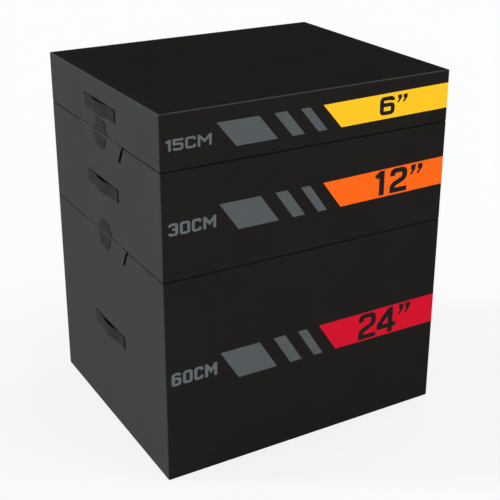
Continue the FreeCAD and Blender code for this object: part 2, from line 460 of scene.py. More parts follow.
def part_cover(name):
    """Six open panels of one block, still without thickness."""
    low, high = blocks[name]
    shell = start_block("shell", low, high)
    edit(shell)
    for axis in range(3):
        def along(middle, edge):
            return abs(edge.verts[0].co[axis] - edge.verts[1].co[axis]) > well_apart

        pick("EDGE", along)
        bpy.ops.mesh.subdivide(number_cuts=round((high - low)[axis] / grid))
    bpy.ops.mesh.select_all(action="DESELECT")
    bpy.ops.mesh.edges_select_sharp(sharpness=math.radians(60))
    bpy.ops.mesh.bevel(offset=edge_radius, segments=6, profile=0.5, affect="EDGES")

    def on_seam(place, vertex):
        depths = edge_depths(place, low, high)
        return depths[1] > 0 and depths[2] - depths[1] < same_point

    pick("VERT", on_seam)
    bpy.ops.transform.shrink_fatten(value=-seam_depth)
    panels = {}
    for face in directions:
        pick("FACE", lambda middle, part: nearest_face(middle, low, high) == face)
        if face != "right":
            bpy.ops.mesh.separate(type="SELECTED")
            panels[face] = next(piece for piece in bpy.context.selected_objects if piece != shell)
            panels[face].select_set(False)
        else:
            panels[face] = shell
    close()
    for face, panel in panels.items():
        name_piece(panel, f"vinyl_{name}_{face}")
    return panels


panels = {name: part_cover(name) for name in blocks}
print({name: [len(panel.data.polygons) for panel in six.values()] for name, six in panels.items()})

# %% [markdown]
# The side panels are slotted for the strap handles and the back panel for the zip. Each opening
# is cut by bisecting the open panel along its sides and deleting what lies between, which
# leaves clean edges for the thickness that follows. A boolean would leave long thin triangles.

# %% Cut the slots
slot_span = (0.10025, 0.109)
slot_reach = 0.020
zip_half_length = 0.360
zip_rise = 0.045
zip_reach = 0.0055
middles = {name: (low.z + high.z) / 2 for name, (low, high) in blocks.items()}


def bisect_at(axis, level):
    """Cuts all of the open piece along a plane across one axis."""
    normal = Vector([1.0 if index == axis else 0.0 for index in range(3)])
    pick_all()
    bpy.ops.mesh.bisect(plane_co=normal * level, plane_no=normal)


def cut_window(panel, spans):
    """Opens a window between two levels on each of two axes."""
    edit(panel)
    for axis, span in spans.items():
        for level in span:
            bisect_at(axis, level)

    def inside(middle, face):
        return all(first < middle[axis] < last for axis, (first, last) in spans.items())

    pick("FACE", inside)
    bpy.ops.mesh.delete(type="FACE")
    close()


for name, (low, high) in blocks.items():
    middle = middles[name]
    for face in ("left", "right"):
        for span in (slot_span, (-slot_span[1], -slot_span[0])):
            cut_window(panels[name][face], {1: span, 2: (middle - slot_reach, middle + slot_reach)})
    zip_level = low.z + zip_rise
    zip_heights = (zip_level - zip_reach, zip_level + zip_reach)
    cut_window(panels[name]["back"], {0: (-zip_half_length, zip_half_length), 2: zip_heights})
print("slots cut:", 4 * len(blocks), "and zip windows:", len(blocks))

# %% [markdown]
# A panel is a sheet that was cut flat and is stretched over the foam. It gets its thickness
# inwards, so the outside keeps the block's size. The polish and shade attribute grows from nothing
# at the start of the rounding to full at the seam: polish on the landing edge of the top block, most
# at the front and back where feet rub, and painted shade where one block stands on another.

# %% Thicken and fit the panels
vinyl_thickness = 0.0012
wear_width = edge_radius * math.sqrt(0.5)
side_polish = 0.3
stack_top = max(high.z for low, high in blocks.values())
wrap = 2 * edge_radius * (math.pi / 4 - 1)


def fit(piece, body, slot, *nodes):
    """Hangs a finished piece on its body and hides the CAD nodes that it stands for."""
    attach(piece, body)
    if nodes:
        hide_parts(*nodes)


def polish_and_painted_shade(place, low, high):
    """How polished a place on the cover is, or how much painted shade it has: 1 is polished, -1 is
    shaded.
    """
    amount = max(0.0, min(1.0, edge_depths(place, low, high)[1] / wear_width))
    if place.z > stack_top - edge_radius:
        at_side = abs(place.x) > half_width - edge_radius
        return side_polish * amount if at_side else amount
    # Painted shade: the roundings where one block stands on another get -1, which darkens their
    # colour.
    under_block = place.z > high.z - edge_radius
    on_block = low.z > well_apart and place.z < low.z + edge_radius
    return -amount if under_block or on_block else 0.0


def flat_size(name, face):
    """The size that a panel was cut to, with its share of the roundings."""
    low, high = blocks[name]
    return [(high - low)[axis] + wrap for axis in range(3) if axis != directions[face][0]]


for name, six in panels.items():
    low, high = blocks[name]
    for face, panel in six.items():
        harden(panel, "SOLIDIFY", thickness=vinyl_thickness, offset=-1)
        wear = panel.data.attributes.new("polish_and_painted_shade", "FLOAT", "POINT")
        for vertex, spot in zip(panel.data.vertices, wear.data):
            spot.value = polish_and_painted_shade(vertex.co, low, high)
        dress(panel, black_vinyl)
        fit(panel, f"box_{name}", "vinyl", f"cover_{name}_{face}")
        flat_size(name, face)
print("panels fitted:", sum(len(six) for six in panels.values()))

# %% [markdown]
# Inside each cover a firm foam block carries a softer pad. Cut foam shows its open cells. A
# Voronoi pattern gives the bubbles and a coarser noise the crumbs between them, so one function
# that takes the size of a cell makes both foams.

# %% Mix the foams
def foam_finish(name, colour, cell):
    """Cut foam with open cells of one size."""
    material, pen, place, shader = new_finish(name, Roughness=0.95, Specular_IOR_Level=0.1)
    bubbles = pen.cells(place, cell)
    crumbs = pen.noise(place, 60.0, 4.0)
    body = pen.mix(crumbs, shade(colour, 0.82), shade(colour, 1.15))
    pen.mix(bubbles * 0.6, shade(colour, 0.5), body).into(shader, "Base Color")
    pen.bump(bubbles + 0.4 * crumbs, 0.5, cell / 4).into(shader, "Normal")
    return material


core_foam = foam_finish("core_foam", (0.55, 0.55, 0.53), 0.0022)
pad_foam = foam_finish("pad_foam", (0.2, 0.2, 0.21), 0.0013)
print("foams ready")

# %% [markdown]
# The edges of the foam are rounded only where the cover pulls them in. The firm block has pockets
# for the strap tails, for the backing plates behind the slots and for the zip. They are sunk by
# bisecting the block along their sides and extruding the faces between inwards, which keeps the
# mesh as clean as the panels are.

# %% Cut the firm block
room = 0.0005
plate_span = (0.0875, 0.123)
plate_reach = 0.033
plate_depth = 0.0024
tail_depth = 0.0325
groove_depth = 0.0074
groove_half_length = 0.3705
groove_reach = 0.015


def sink(test, shift):
    """Pushes the faces that pass a test inwards."""
    pick("FACE", test)
    bpy.ops.mesh.extrude_region_move(TRANSFORM_OT_translate={"value": shift})


def on_side(side, depth, span, reach, middle):
    """A test for faces of one side at a depth, within the span and reach of a handle slot."""
    def test(place, face):
        near = abs(side * place.x - half_width + depth) < same_level
        return near and span[0] < abs(place.y) < span[1] and abs(place.z - middle) < reach
    return test


def cut_core(name, low, high):
    """The firm block, with its pockets and its groove."""
    core = start_block(f"foam_block_{name}", low, high)
    edit(core)
    pick("EDGE", lambda place, edge: place.z < high.z - well_apart)
    bpy.ops.mesh.bevel(offset=edge_radius, segments=3, affect="EDGES")
    plates = (plate_span[0] - room, plate_span[1] + room)
    tails = (slot_span[0] - room, slot_span[1] + room)
    middle = middles[name]
    for level in plates + tails:
        for side in (1, -1):
            bisect_at(1, side * level)
    for reach in (plate_reach + room, slot_reach + room):
        for side in (1, -1):
            bisect_at(2, middle + side * reach)
    for side in (1, -1):
        depth = plate_depth + room
        first = on_side(side, vinyl_thickness, plates, plate_reach + room, middle)
        sink(first, (-side * (depth - vinyl_thickness), 0, 0))
        second = on_side(side, depth, tails, slot_reach + room, middle)
        sink(second, (-side * (tail_depth - depth), 0, 0))
    level = low.z - vinyl_thickness + zip_rise
    for side in (1, -1):
        bisect_at(0, side * groove_half_length)
        bisect_at(2, level + side * groove_reach)

    def at_back(place, face):
        behind = place.y > half_depth - vinyl_thickness - same_level
        return behind and abs(place.x) < groove_half_length and abs(place.z - level) < groove_reach

    sink(at_back, (0, -(groove_depth - vinyl_thickness), 0))
    close()
    return core


print("room in the pockets:", room)

# %% [markdown]
# The softer pad lies on the firm block and fills the rest of the cover. It has no pockets, so a
# block is enough, with every edge rounded but those on the firm block.

# %% Cut the pad and fit the foam
pad_thickness = 0.040
inset = Vector((vinyl_thickness, vinyl_thickness, vinyl_thickness))


def cut_pad(name, low, high):
    """The soft pad on top of the firm block."""
    pad = start_block(f"foam_pad_{name}", low, high)
    edit(pad)
    pick("EDGE", lambda place, edge: place.z > low.z + well_apart)
    bpy.ops.mesh.bevel(offset=edge_radius, segments=3, affect="EDGES")
    close()
    return pad


for name, (low, high) in blocks.items():
    split = high.z - vinyl_thickness - pad_thickness
    core = cut_core(name, low + inset, Vector((high.x - inset.x, high.y - inset.y, split)))
    pad = cut_pad(name, Vector((low.x + inset.x, low.y + inset.y, split)), high - inset)
    foams = ((core, core_foam, "core_foam", "foam_core"), (pad, pad_foam, "pad_foam", "top_pad"))
    for piece, finish, slot, node in foams:
        dress(piece, finish)
        fit(piece, f"box_{name}", slot, f"{node}_{name}")
    print(name, "foam faces:", len(core.data.polygons), len(pad.data.polygons))

# %% [markdown]
# Webbing is woven from thick yarns: ribs run along the strap and the weft crosses them every
# other rib. The weave is a product of two sine waves, which is enough to give each yarn its
# hump, and a fine noise breaks up the colour as fibres do.

# %% Mix the webbing
def woven_finish(name, colour, along, across, rib, level):
    """A woven finish whose ribs run along one axis and lie side by side across another."""
    material, pen, place, shader = new_finish(name, Roughness=0.9, Specular_IOR_Level=level)
    run = pen.add("ShaderNodeSeparateXYZ", None, {"Vector": place}, along)
    over = pen.add("ShaderNodeSeparateXYZ", None, {"Vector": place}, across)
    warp = pen.math("SINE", over * (2 * math.pi / rib))
    weft = pen.math("SINE", run * (2 * math.pi / (1.6 * rib)))
    yarn = 0.5 + 0.5 * warp * weft
    fibre = pen.noise(place, 3000.0, 3.0)
    wear = pen.noise(place, 40.0, 4.0)
    tone = 0.75 * yarn + 0.25 * fibre
    dark = pen.mix(wear, shade(colour, 0.62), shade(colour, 0.8))
    pen.mix(tone, dark, shade(colour, 1.32)).into(shader, "Base Color")
    pen.bump(yarn + 0.3 * fibre, 0.5, 0.0004).into(shader, "Normal")
    return material


strap_webbing = woven_finish("strap_webbing", (0.0078, 0.0074, 0.0066), "Y", "Z", 0.0016, 0.01)
print("webbing ready")

# %% [markdown]
# A strap comes out of one slot, bends flat onto the panel, bows away from it in the middle and
# goes back in at the other slot. Half a strap is drawn from its middle: the width of the strap
# is an edge, spun along each bend and extruded along each straight run. The halves are separate
# pieces.

# %% Draw half a strap
strap_width = 0.038
strap_thickness = 0.002
strap_level = 0.0013
bend_radius = 0.003
strap_tail = 0.032
leg_place = 0.1045
bow_half = 0.075
bow_rise = 0.0077
turn = 2 * math.atan(bow_rise / bow_half)
sweep = bow_half / (2 * math.sin(turn))
strap_round = 0.0006


def extrude_by(shift, steps=1):
    """Extrudes what is selected in even steps."""
    for step in range(steps):
        bpy.ops.mesh.extrude_region_move(TRANSFORM_OT_translate={"value": Vector(shift) / steps})


def spin_by(angle, centre, steps):
    """Spins what is selected about an upright axis, anticlockwise from above."""
    bpy.ops.mesh.spin(steps=steps, angle=-angle, center=(*centre, 0), axis=(0, 0, 1))


def draw_half_strap():
    """The right-hand strap's half with positive y, about its own middle height."""
    crown = half_width + strap_level + bow_rise
    flat = half_width + strap_level
    middle = (crown, strap_width / 2, 0)
    deselect()
    bpy.ops.mesh.primitive_plane_add(size=strap_width, location=middle, rotation=(0, math.pi / 2, 0))
    half = bpy.context.object
    settle()
    edit(half)
    pick("VERT", lambda place, vertex: place.y > well_apart)
    bpy.ops.mesh.delete(type="VERT")
    pick_all()
    spin_by(turn, (crown - sweep, 0), steps=10)
    spin_by(-turn, (flat + sweep, bow_half), steps=10)
    extrude_by((0, leg_place - bend_radius - bow_half, 0), steps=5)
    spin_by(math.pi / 2, (flat - bend_radius, leg_place - bend_radius), steps=6)
    extrude_by((half_width - strap_tail - flat + bend_radius, 0, 0), steps=3)
    weld()
    face_outwards()
    close()
    harden(half, "SOLIDIFY", thickness=strap_thickness, offset=0)
    edit(half)
    pick("FACE", lambda place, face: abs(place.y) < same_point)
    bpy.ops.mesh.delete(type="FACE")
    close()
    soften(half, strap_round, segments=2)
    edit(half)
    pick("VERT", lambda place, vertex: abs(place.y) < same_point)
    bpy.ops.mesh.edge_face_add()
    face_outwards()
    close()
    return half


half_strap = draw_half_strap()
reach = [max(vertex.co[axis] for vertex in half_strap.data.vertices) for axis in range(3)]
print("half strap reaches", [round(v, 4) for v in reach], len(half_strap.data.polygons), "faces")

# %% [markdown]
# The half strap is modelled once and copied to both sides and both ends of every block. A
# mirrored copy is turned inside out, so its faces are flipped back.

# %% Hang the straps
def copy_piece(source, name, mirror, shift):
    """A copy with its own mesh, mirrored about the origin and then moved."""
    piece = source.copy()
    piece.data = source.data.copy()
    name_piece(piece, name)
    bpy.context.scene.collection.objects.link(piece)
    piece.data.transform(Matrix.Translation(shift) @ Matrix.Diagonal((*mirror, 1)))
    if mirror[0] * mirror[1] * mirror[2] < 0:
        piece.data.flip_normals()
    return piece


sides = {"left": -1, "right": 1}
ends = {"front": -1, "back": 1}
dress(half_strap, strap_webbing)
for name in blocks:
    for side, x_sign in sides.items():
        for end, y_sign in ends.items():
            mirror = (x_sign, y_sign, 1)
            shift = (0, 0, middles[name])
            half = copy_piece(half_strap, f"strap_{name}_{side}_{end}", mirror, shift)
            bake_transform(half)
            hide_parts(f"handle_strap_{name}_{side}")
bpy.data.objects.remove(half_strap)
print("half straps hung:", 4 * len(blocks))

# %% [markdown]
# Behind every slot a plate of webbing is sewn to the inside of the panel, so the slot doesn't
# tear. Only its edge shows in the slot. It starts as a flat sheet with rounded corners and gets
# a window and a thickness.

# %% Sew in the backing plates
def start_side_sheet(name, outer, width, rise):
    """A flat sheet that faces right, at a stand-off from the side, between two heights."""
    deselect()
    middle = (half_width + outer, 0, (rise[0] + rise[1]) / 2)
    bpy.ops.mesh.primitive_plane_add(size=1, location=middle, rotation=(0, math.pi / 2, 0))
    sheet = bpy.context.object
    name_piece(sheet, name)
    sheet.scale = (rise[1] - rise[0], width, 1)
    settle()
    return sheet


def join(pieces, name):
    """Several pieces as one."""
    single_out(pieces[0])
    for piece in pieces:
        piece.select_set(True)
    bpy.ops.object.join()
    name_piece(pieces[0], name)
    return pieces[0]


plate_width = plate_span[1] - plate_span[0]
plate_middle = (plate_span[0] + plate_span[1]) / 2
plate_corner = 0.006
plate = start_side_sheet("plate", -vinyl_thickness, plate_width, (-plate_reach, plate_reach))
plate.data.transform(Matrix.Translation((0, plate_middle, 0)))
edit(plate)
pick_all()
bpy.ops.mesh.bevel(offset=plate_corner, segments=4, affect="VERTICES")
close()
cut_window(plate, {1: slot_span, 2: (-slot_reach, slot_reach)})
harden(plate, "SOLIDIFY", thickness=vinyl_thickness, offset=-1)
dress(plate, strap_webbing)
for name in blocks:
    four = []
    shift = (0, 0, middles[name])
    for x_sign in sides.values():
        for y_sign in ends.values():
            four.append(copy_piece(plate, "plate_copy", (x_sign, y_sign, 1), shift))
    fit(join(four, f"slot_backing_{name}"), f"box_{name}", "webbing", f"handle_backing_{name}")
bpy.data.objects.remove(plate)
print("backing plates:", 4 * len(blocks))

# %% [markdown]
# The locking flap is a tapered sheet of the same vinyl. It is sewn to the upper block's lower
# edge, where its top slopes in to the panel, and closes over the seam. Flap, patches and
# fastener pads are all flat tapered pieces on the side, so one function cuts them: a sheet,
# divided where it has to flex, trimmed along its two slants and thickened inwards.

# %% Cut tapered pieces
flap_rise = 0.048
flap_widths = (0.254, 0.3048)
flap_outer = 0.0033
root_rise = 0.0006
root_steps = (
    (-0.0004, 0, 0.0009), (-0.0007, 0, 0.0009), (-0.0008, 0, 0.0008), (-0.0006, 0, 0.0008),
)
patch_widths = (0.055, 0.097)
patch_thickness = 0.0013
patch_rise = (-0.0402, -0.0022)
anchor_rise = (0.0042, 0.0422)


def cut_tapered(name, outer, thickness, rise, widths, rows=(), step=0.03, round_by=0.0004, root=0):
    """A tapered piece on the right side: its heights above the fold and its width at each."""
    piece = start_side_sheet(name, outer, max(widths), (rise[0], rise[1] + root))
    lean = (widths[1] - widths[0]) / 2
    edit(piece)
    count = math.ceil(max(widths) / 2 / step)
    for index in range(-count + 1, count):
        bisect_at(1, index * step)
    for row in rows:
        bisect_at(2, row)
    for side in (1, -1):
        slant = Vector((0, side * (rise[1] - rise[0]), -lean)).normalized()
        corner = (0, side * widths[0] / 2, rise[0])
        pick_all()
        bpy.ops.mesh.bisect(plane_co=corner, plane_no=slant, clear_outer=True, threshold=same_point)
    if root:
        pick("EDGE", lambda place, edge: place.z > rise[1] + root - same_point)
        for shift in root_steps:
            extrude_by(shift)
    close()
    harden(piece, "SOLIDIFY", thickness=thickness, offset=-1)
    soften(piece, round_by, segments=2)
    return piece


patch_outer = flap_outer + patch_thickness
patch = cut_tapered("patch", patch_outer, patch_thickness, patch_rise, patch_widths)
anchor = cut_tapered("anchor", patch_thickness, patch_thickness, anchor_rise, patch_widths[::-1])
print("patch faces:", len(patch.data.polygons))

# %% [markdown]
# The flap is divided closely at the fold, where it bends. Its crease is rubbed a little smooth, and
# its inner side and rim below the fold are painted darker as painted shade, which the attribute says
# as on the covers. The slanted ends of a used flap curl off the side. A cloth simulation could find
# that, but a formula that moves the vertices out is quicker and gives the same curl each time.

# %% Cut the flap
curl_drop = 0.004
curl_reach = 0.030
curl_lift = 0.0022


def curl(piece):
    """Lifts what lies near the slanted ends of the flap off the side, from nothing at the fold."""
    for vertex in piece.data.vertices:
        drop = max(0.0, min(1.0, -vertex.co.z / curl_drop))
        share = 1 + vertex.co.z / flap_rise
        end = flap_widths[0] / 2 + (flap_widths[1] - flap_widths[0]) / 2 * share
        near = max(0.0, 1 - max(0.0, end - abs(vertex.co.y)) / curl_reach)
        vertex.co.x += curl_lift * near ** 2 * drop


flap_heights = (-flap_rise, 0.0)
flap_column = 0.0075
fold_row = 0.0006
flap_row = 0.008
rows = [fold_row * row for row in range(-7, 1)] + [-flap_row * row for row in range(1, 6)]
flap = cut_tapered("flap", flap_outer, vinyl_thickness, flap_heights, flap_widths, rows, flap_column,
                   root=root_rise)
crease_polish = 0.18
crease_reach = 0.008
skin = 0.0002
outer_face = half_width + flap_outer - skin
crease = flap.data.attributes.new("polish_and_painted_shade", "FLOAT", "POINT")
for vertex, spot in zip(flap.data.vertices, crease.data):
    # Painted shade: below the fold the inner side and rim get -1, which darkens their colour.
    if vertex.co.x < outer_face:
        spot.value = -1.0 if vertex.co.z < 0 else 0.0
    else:
        spot.value = max(0.0, crease_polish - abs(vertex.co.z) / crease_reach)
curl(flap)
print("flap faces:", len(flap.data.polygons))

# %% [markdown]
# Flaps close with hook and loop pads. The loop side is a brushed pile and the hook side rows of
# stiff hooks, so both get a fine uneven surface. A seeded random push of the grid makes the pile,
# and the finish adds the fibres that are too fine for the mesh.

# %% Make the hook and loop pads
def fastener_finish(name, colour, cell, roughness):
    """A tufted finish for hooks or loops."""
    material, pen, place, shader = new_finish(name, Roughness=roughness, Specular_IOR_Level=0.05)
    tufts = pen.cells(place, cell)
    fibre = pen.noise(place, 2500.0, 4.0)
    tone = 0.6 * tufts + 0.5 * fibre
    pen.mix(tone, shade(colour, 0.6), shade(colour, 1.6)).into(shader, "Base Color")
    pen.bump(tufts + fibre, 0.8, 0.0005).into(shader, "Normal")
    return material


loop_pile = fastener_finish("loop_pile", (0.0068, 0.0068, 0.0065), 0.0016, 1.0)
hook_rows = fastener_finish("hook_rows", (0.010, 0.010, 0.0098), 0.0011, 0.75)
fastener_thickness = 0.001
fastener_gap = 0.0001
fastener_round = 0.0002
fastener_step = 0.004
pile_height = 0.00006
pad_rise = (-0.042, -0.010)
pad_widths = (0.24835, 0.28222)
pad_border = 0.0015
pad_rows = [pad_rise[0] + fastener_step * row for row in range(1, 8)]


def cut_fastener(name, outer, step):
    """One of the two pads that close on each other, at a stand-off from the side."""
    return cut_tapered(name, outer, fastener_thickness, pad_rise, pad_widths, pad_rows, step,
                       fastener_round)


def roughen(pad, outer, amount, seed):
    """Pushes the inner grid of a pad's outer face in and out."""
    middle = (pad_rise[0] + pad_rise[1]) / 2
    reach = (pad_rise[1] - pad_rise[0]) / 2 - pad_border

    def inside(place, vertex):
        on_face = abs(place.x - half_width - outer) < same_level
        return on_face and abs(place.z - middle) < reach

    edit(pad)
    pick("VERT", inside)
    bpy.ops.transform.vertex_random(offset=amount, normal=1.0, seed=seed)
    close()


loop_pad = cut_fastener("loop_pad", fastener_thickness, fastener_step)
roughen(loop_pad, fastener_thickness, pile_height, seed=3)
hook_pad = cut_fastener("hook_pad", 2 * fastener_thickness + fastener_gap, 2 * fastener_step)
curl(hook_pad)
print("loop pad faces:", len(loop_pad.data.polygons))

# %% [markdown]
# Thread holds the patches and closes the flap's hem. One stitch is a small rounded bar. An
# array repeats it along each line, and the lines of a piece are joined.

# %% Sew the stitch lines
def thread_finish(name, colour):
    """Twisted thread, or a coil of it."""
    material, pen, place, shader = new_finish(name, Roughness=0.75, Specular_IOR_Level=0.1)
    twist = pen.noise(place, 1500.0, 2.0)
    pen.mix(twist, shade(colour, 0.75), shade(colour, 1.3)).into(shader, "Base Color")
    pen.bump(twist, 0.4, 0.0002).into(shader, "Normal")
    return material


thread = thread_finish("thread", (0.0115, 0.0112, 0.0105))
stitch_pitch = 0.0042
stitch_length = 0.0030
stitch_width = 0.0006
flap_hem = 0.005
patch_hem = 0.004


def repeat(piece, count, shift):
    """Repeats a piece in a row."""
    harden(piece, "ARRAY", count=count, use_relative_offset=False, use_constant_offset=True,
           constant_offset_displace=shift)


def stitch_line(start, end, outer):
    """Stitches on the right side, at a stand-off, between two places given as (y, height)."""
    run = Vector(end) - Vector(start)
    count = max(1, round(run.length / stitch_pitch))
    half = stitch_width / 2
    line = start_block("stitch", (-half / 2, 0, -half), (half, stitch_length, half))
    edit(line)
    pick_all()
    bpy.ops.mesh.bevel(offset=half / 2, segments=1, affect="EDGES")
    close()
    repeat(line, count, (0, run.length / count, 0))
    line.rotation_euler = (math.atan2(run.y, run.x), 0, 0)
    line.location = (half_width + outer, *start)
    single_out(line)
    settle()
    return line


def sew_round(name, outer, rise, widths, margin, closed=True):
    """Stitch lines inside the border of a tapered piece."""
    slant = (widths[1] - widths[0]) / 2 / (rise[1] - rise[0])
    lower, upper = rise[0] + margin, rise[1] - margin
    narrow, wide = (widths[0] / 2 + slant * (level - rise[0]) - margin for level in (lower, upper))
    corners = [(-wide, upper), (-narrow, lower), (narrow, lower), (wide, upper)]
    if closed:
        corners.append(corners[0])
    lines = [stitch_line(first, last, outer) for first, last in zip(corners, corners[1:])]
    return join(lines, name)


flap_thread = sew_round("flap_thread", flap_outer, flap_heights, flap_widths, flap_hem, closed=False)
curl(flap_thread)
patch_thread = sew_round("patch_thread", patch_outer, patch_rise, patch_widths, patch_hem)
anchor_thread = sew_round("anchor_thread", patch_thickness, anchor_rise, patch_widths[::-1], patch_hem)
print("stitch faces:", len(flap_thread.data.polygons), len(patch_thread.data.polygons))

# %% [markdown]
# The set of flap pieces is copied to both sides of the two upper blocks. The upper patch stays on
# the block, and the loop pad sits on the block below.

# %% Fit the flaps
finishes = (
    (flap, black_vinyl), (patch, strap_webbing), (anchor, strap_webbing), (loop_pad, loop_pile),
    (hook_pad, hook_rows), (flap_thread, thread), (patch_thread, thread), (anchor_thread, thread),
)
for piece, finish in finishes:
    dress(piece, finish)
for name, lower in (("12", "24"), ("6", "12")):
    fold = (0, 0, blocks[name][0].z)
    box = f"box_{name}"
    for side, x_sign in sides.items():
        body = f"lock_flap_{name}_{side}"
        tag = f"{name}_{side}"
        mirror = (x_sign, 1, 1)
        sheet = copy_piece(flap, f"lock_flap_{tag}", mirror, fold)
        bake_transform(sheet)
        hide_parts(f"flap_{tag}", f"flap_anchor_{name}")
        sewn_on = (
            (anchor, "upper_patch", box, "webbing", [f"flap_anchor_{name}"]),
            (patch, "lower_patch", body, "webbing", [f"flap_patch_{tag}"]),
            (hook_pad, "hook_pad", body, "fastener", [f"flap_hook_{tag}"]),
            (loop_pad, "loop_pad", f"box_{lower}", "fastener", [f"flap_loop_{lower}"]),
            (flap_thread, "flap_thread", body, "webbing", []),
            (patch_thread, "lower_thread", body, "webbing", []),
            (anchor_thread, "upper_thread", box, "webbing", []),
        )
        for source, label, carrier, slot, nodes in sewn_on:
            fit(copy_piece(source, f"{label}_{tag}", mirror, fold), carrier, slot, *nodes)
        print("flap fitted:", tag)
for piece, finish in finishes:
    bpy.data.objects.remove(piece)

# %% [markdown]
# The covers close with a zip low on the back. Each tape is a woven strip with a border sewn
# behind the panel, made from one block whose outer half is extruded up to the vinyl. Only the
# upper tape is made here, and the lower one will be its mirrored copy.

# %% Weave a zip tape
tape_half_length = 0.370
tape_heights = (0.0008, 0.0145)
tape_depth = 0.0036
tape_thickness = 0.0008
zip_round = 0.0002
squarely = 0.9
tape_cloth = woven_finish("tape_cloth", (0.013, 0.0128, 0.0124), "X", "Z", 0.0009, 0.04)


def weave_tape():
    """The upper tape about the zip's own line, with its face at the back panel."""
    face = half_depth - tape_depth
    low = (-tape_half_length, face - tape_thickness, tape_heights[0])
    tape = start_block("tape", low, (tape_half_length, face, tape_heights[1]))
    edit(tape)
    bisect_at(2, zip_reach)
    pick("FACE", lambda place, part: place.z > zip_reach and part.normal.y > squarely)
    extrude_by((0, tape_depth - vinyl_thickness, 0))
    close()
    soften(tape, zip_round, segments=1)
    return tape


tape = weave_tape()
dress(tape, tape_cloth)
print("tape faces:", len(tape.data.polygons))

# %% [markdown]
# A tooth is a small bevelled block with a narrower nose, arrayed along the tape. The row on the
# lower tape is a mirrored copy, moved on by half a tooth so the two rows mesh.

# %% Set the teeth and fit the zips
tooth_pitch = 0.0025
tooth_length = 0.0015
tooth_heights = (0.0012, 0.0022)
tooth_depths = (0.005, 0.003)
tooth_nose = 0.0006
first_tooth = 0.006
bare_length = 0.016
coil_nylon = thread_finish("coil_nylon", (0.022, 0.022, 0.022))


def cut_teeth():
    """The teeth of the upper tape."""
    start = -tape_half_length + first_tooth
    deep, shallow = (half_depth - depth for depth in tooth_depths)
    low = (start, deep, tooth_heights[0])
    teeth = start_block("teeth", low, (start + tooth_length, shallow, tooth_heights[1]))
    edit(teeth)
    pick_all()
    bpy.ops.mesh.bevel(offset=zip_round, segments=1, affect="EDGES")
    pick("FACE", lambda place, face: face.normal.z < -squarely)
    extrude_by((0, 0, -tooth_nose))
    close()
    repeat(teeth, int((2 * tape_half_length - bare_length) / tooth_pitch), (tooth_pitch, 0, 0))
    return teeth


teeth = cut_teeth()
dress(teeth, coil_nylon)
for name, (low, high) in blocks.items():
    level = low.z + zip_rise
    for part, source in (("tape", tape), ("coil", teeth)):
        skip = tooth_pitch / 2 if part == "coil" else 0
        upper = copy_piece(source, "upper", (1, 1, 1), (0, 0, level))
        lower = copy_piece(source, "lower", (1, 1, -1), (skip, 0, level))
        fit(join([upper, lower], f"zip_{part}_{name}"), f"box_{name}", "zip_tape", f"zip_tapes_{name}")
print("teeth faces a row:", len(teeth.data.polygons))
bpy.data.objects.remove(tape)
bpy.data.objects.remove(teeth)

# %% [markdown]
# Slider and pull are small castings whose CAD shape is right, so they stay and only get a
# finish: black paint, worn to bare metal in small chips.

# %% Paint the zip's metal
def painted_metal(name, paint, metal):
    """Paint with chips down to the metal."""
    material, pen, place, shader = new_finish(name)
    chips = pen.step(pen.noise(place, 420.0, 5.0), 0.66, 0.72)
    grain = pen.noise(place, 1800.0, 2.0)
    pen.mix(chips, shade(paint, 1.0), shade(metal, 1.0)).into(shader, "Base Color")
    chips.into(shader, "Metallic")
    (0.42 + 0.2 * grain - 0.1 * chips).into(shader, "Roughness")
    pen.bump(grain - 0.5 * chips, 0.25, 0.0002).into(shader, "Normal")
    return material


zip_metal = painted_metal("zip_metal", (0.02, 0.02, 0.021), (0.42, 0.42, 0.43))
for name in blocks:
    for part in ("slider", "pull"):
        node = bpy.data.objects[f"zip_{part}_{name}"]
        node.data.materials.clear()
        node.data.materials.append(zip_metal)
print("zip metal on", 2 * len(blocks), "nodes")

# %% [markdown]
# The front of each block is screen printed: slanted bars and the height in centimetres in grey, a
# band in the block's colour, and on it the height in inches in black. Ink is a thin film that takes
# the grain of the vinyl, so each colour gets the same pebble, with a fine mottle where it is thinner.

# %% Mix the inks
def ink_finish(name, colour):
    """An ink film on the vinyl's grain."""
    material, pen, place, shader = new_finish(name, Specular_IOR_Level=0.01)
    pebble = pebble_grain(pen, place)
    mottle = pen.noise(place, 160.0, 4.0)
    pen.mix(mottle, shade(colour, 0.9), shade(colour, 1.1)).into(shader, "Base Color")
    (0.5 + 0.2 * mottle).into(shader, "Roughness")
    pen.bump(1 - pebble, 0.3, 0.0003).into(shader, "Normal")
    return material


inks = {
    "24": ink_finish("red_ink", (0.624, 0.0075, 0.0262)),
    "12": ink_finish("orange_ink", (0.973, 0.136, 0.0103)),
    "6": ink_finish("yellow_ink", (1.0, 0.558, 0.0194)),
}
grey_ink = ink_finish("grey_ink", (0.0865, 0.0976, 0.1022))
pale_ink = ink_finish("pale_ink", (0.112, 0.130, 0.138))
black_ink = ink_finish("black_ink", vinyl_black)
print("inks:", len(inks) + 3)

# %% [markdown]
# A printed shape starts as a single vertex that is extruded from corner to corner and filled. The
# film gets its thickness inwards, so its face stays just proud of the panel. A shape can run on
# over the rounded right edge: its end is spun about the rounding's centre.

# %% Draw films on the front
film = 0.00015
speck = 0.001
wrap_turn = math.radians(40)


def start_print(name):
    """An empty piece, open in edit mode, to draw on the front with."""
    deselect()
    bpy.ops.mesh.primitive_plane_add(size=speck)
    piece = bpy.context.object
    name_piece(piece, name)
    bpy.ops.object.mode_set(mode="EDIT")
    bpy.ops.mesh.select_mode(type="VERT")
    pick_all()
    bpy.ops.mesh.delete(type="VERT")
    return piece


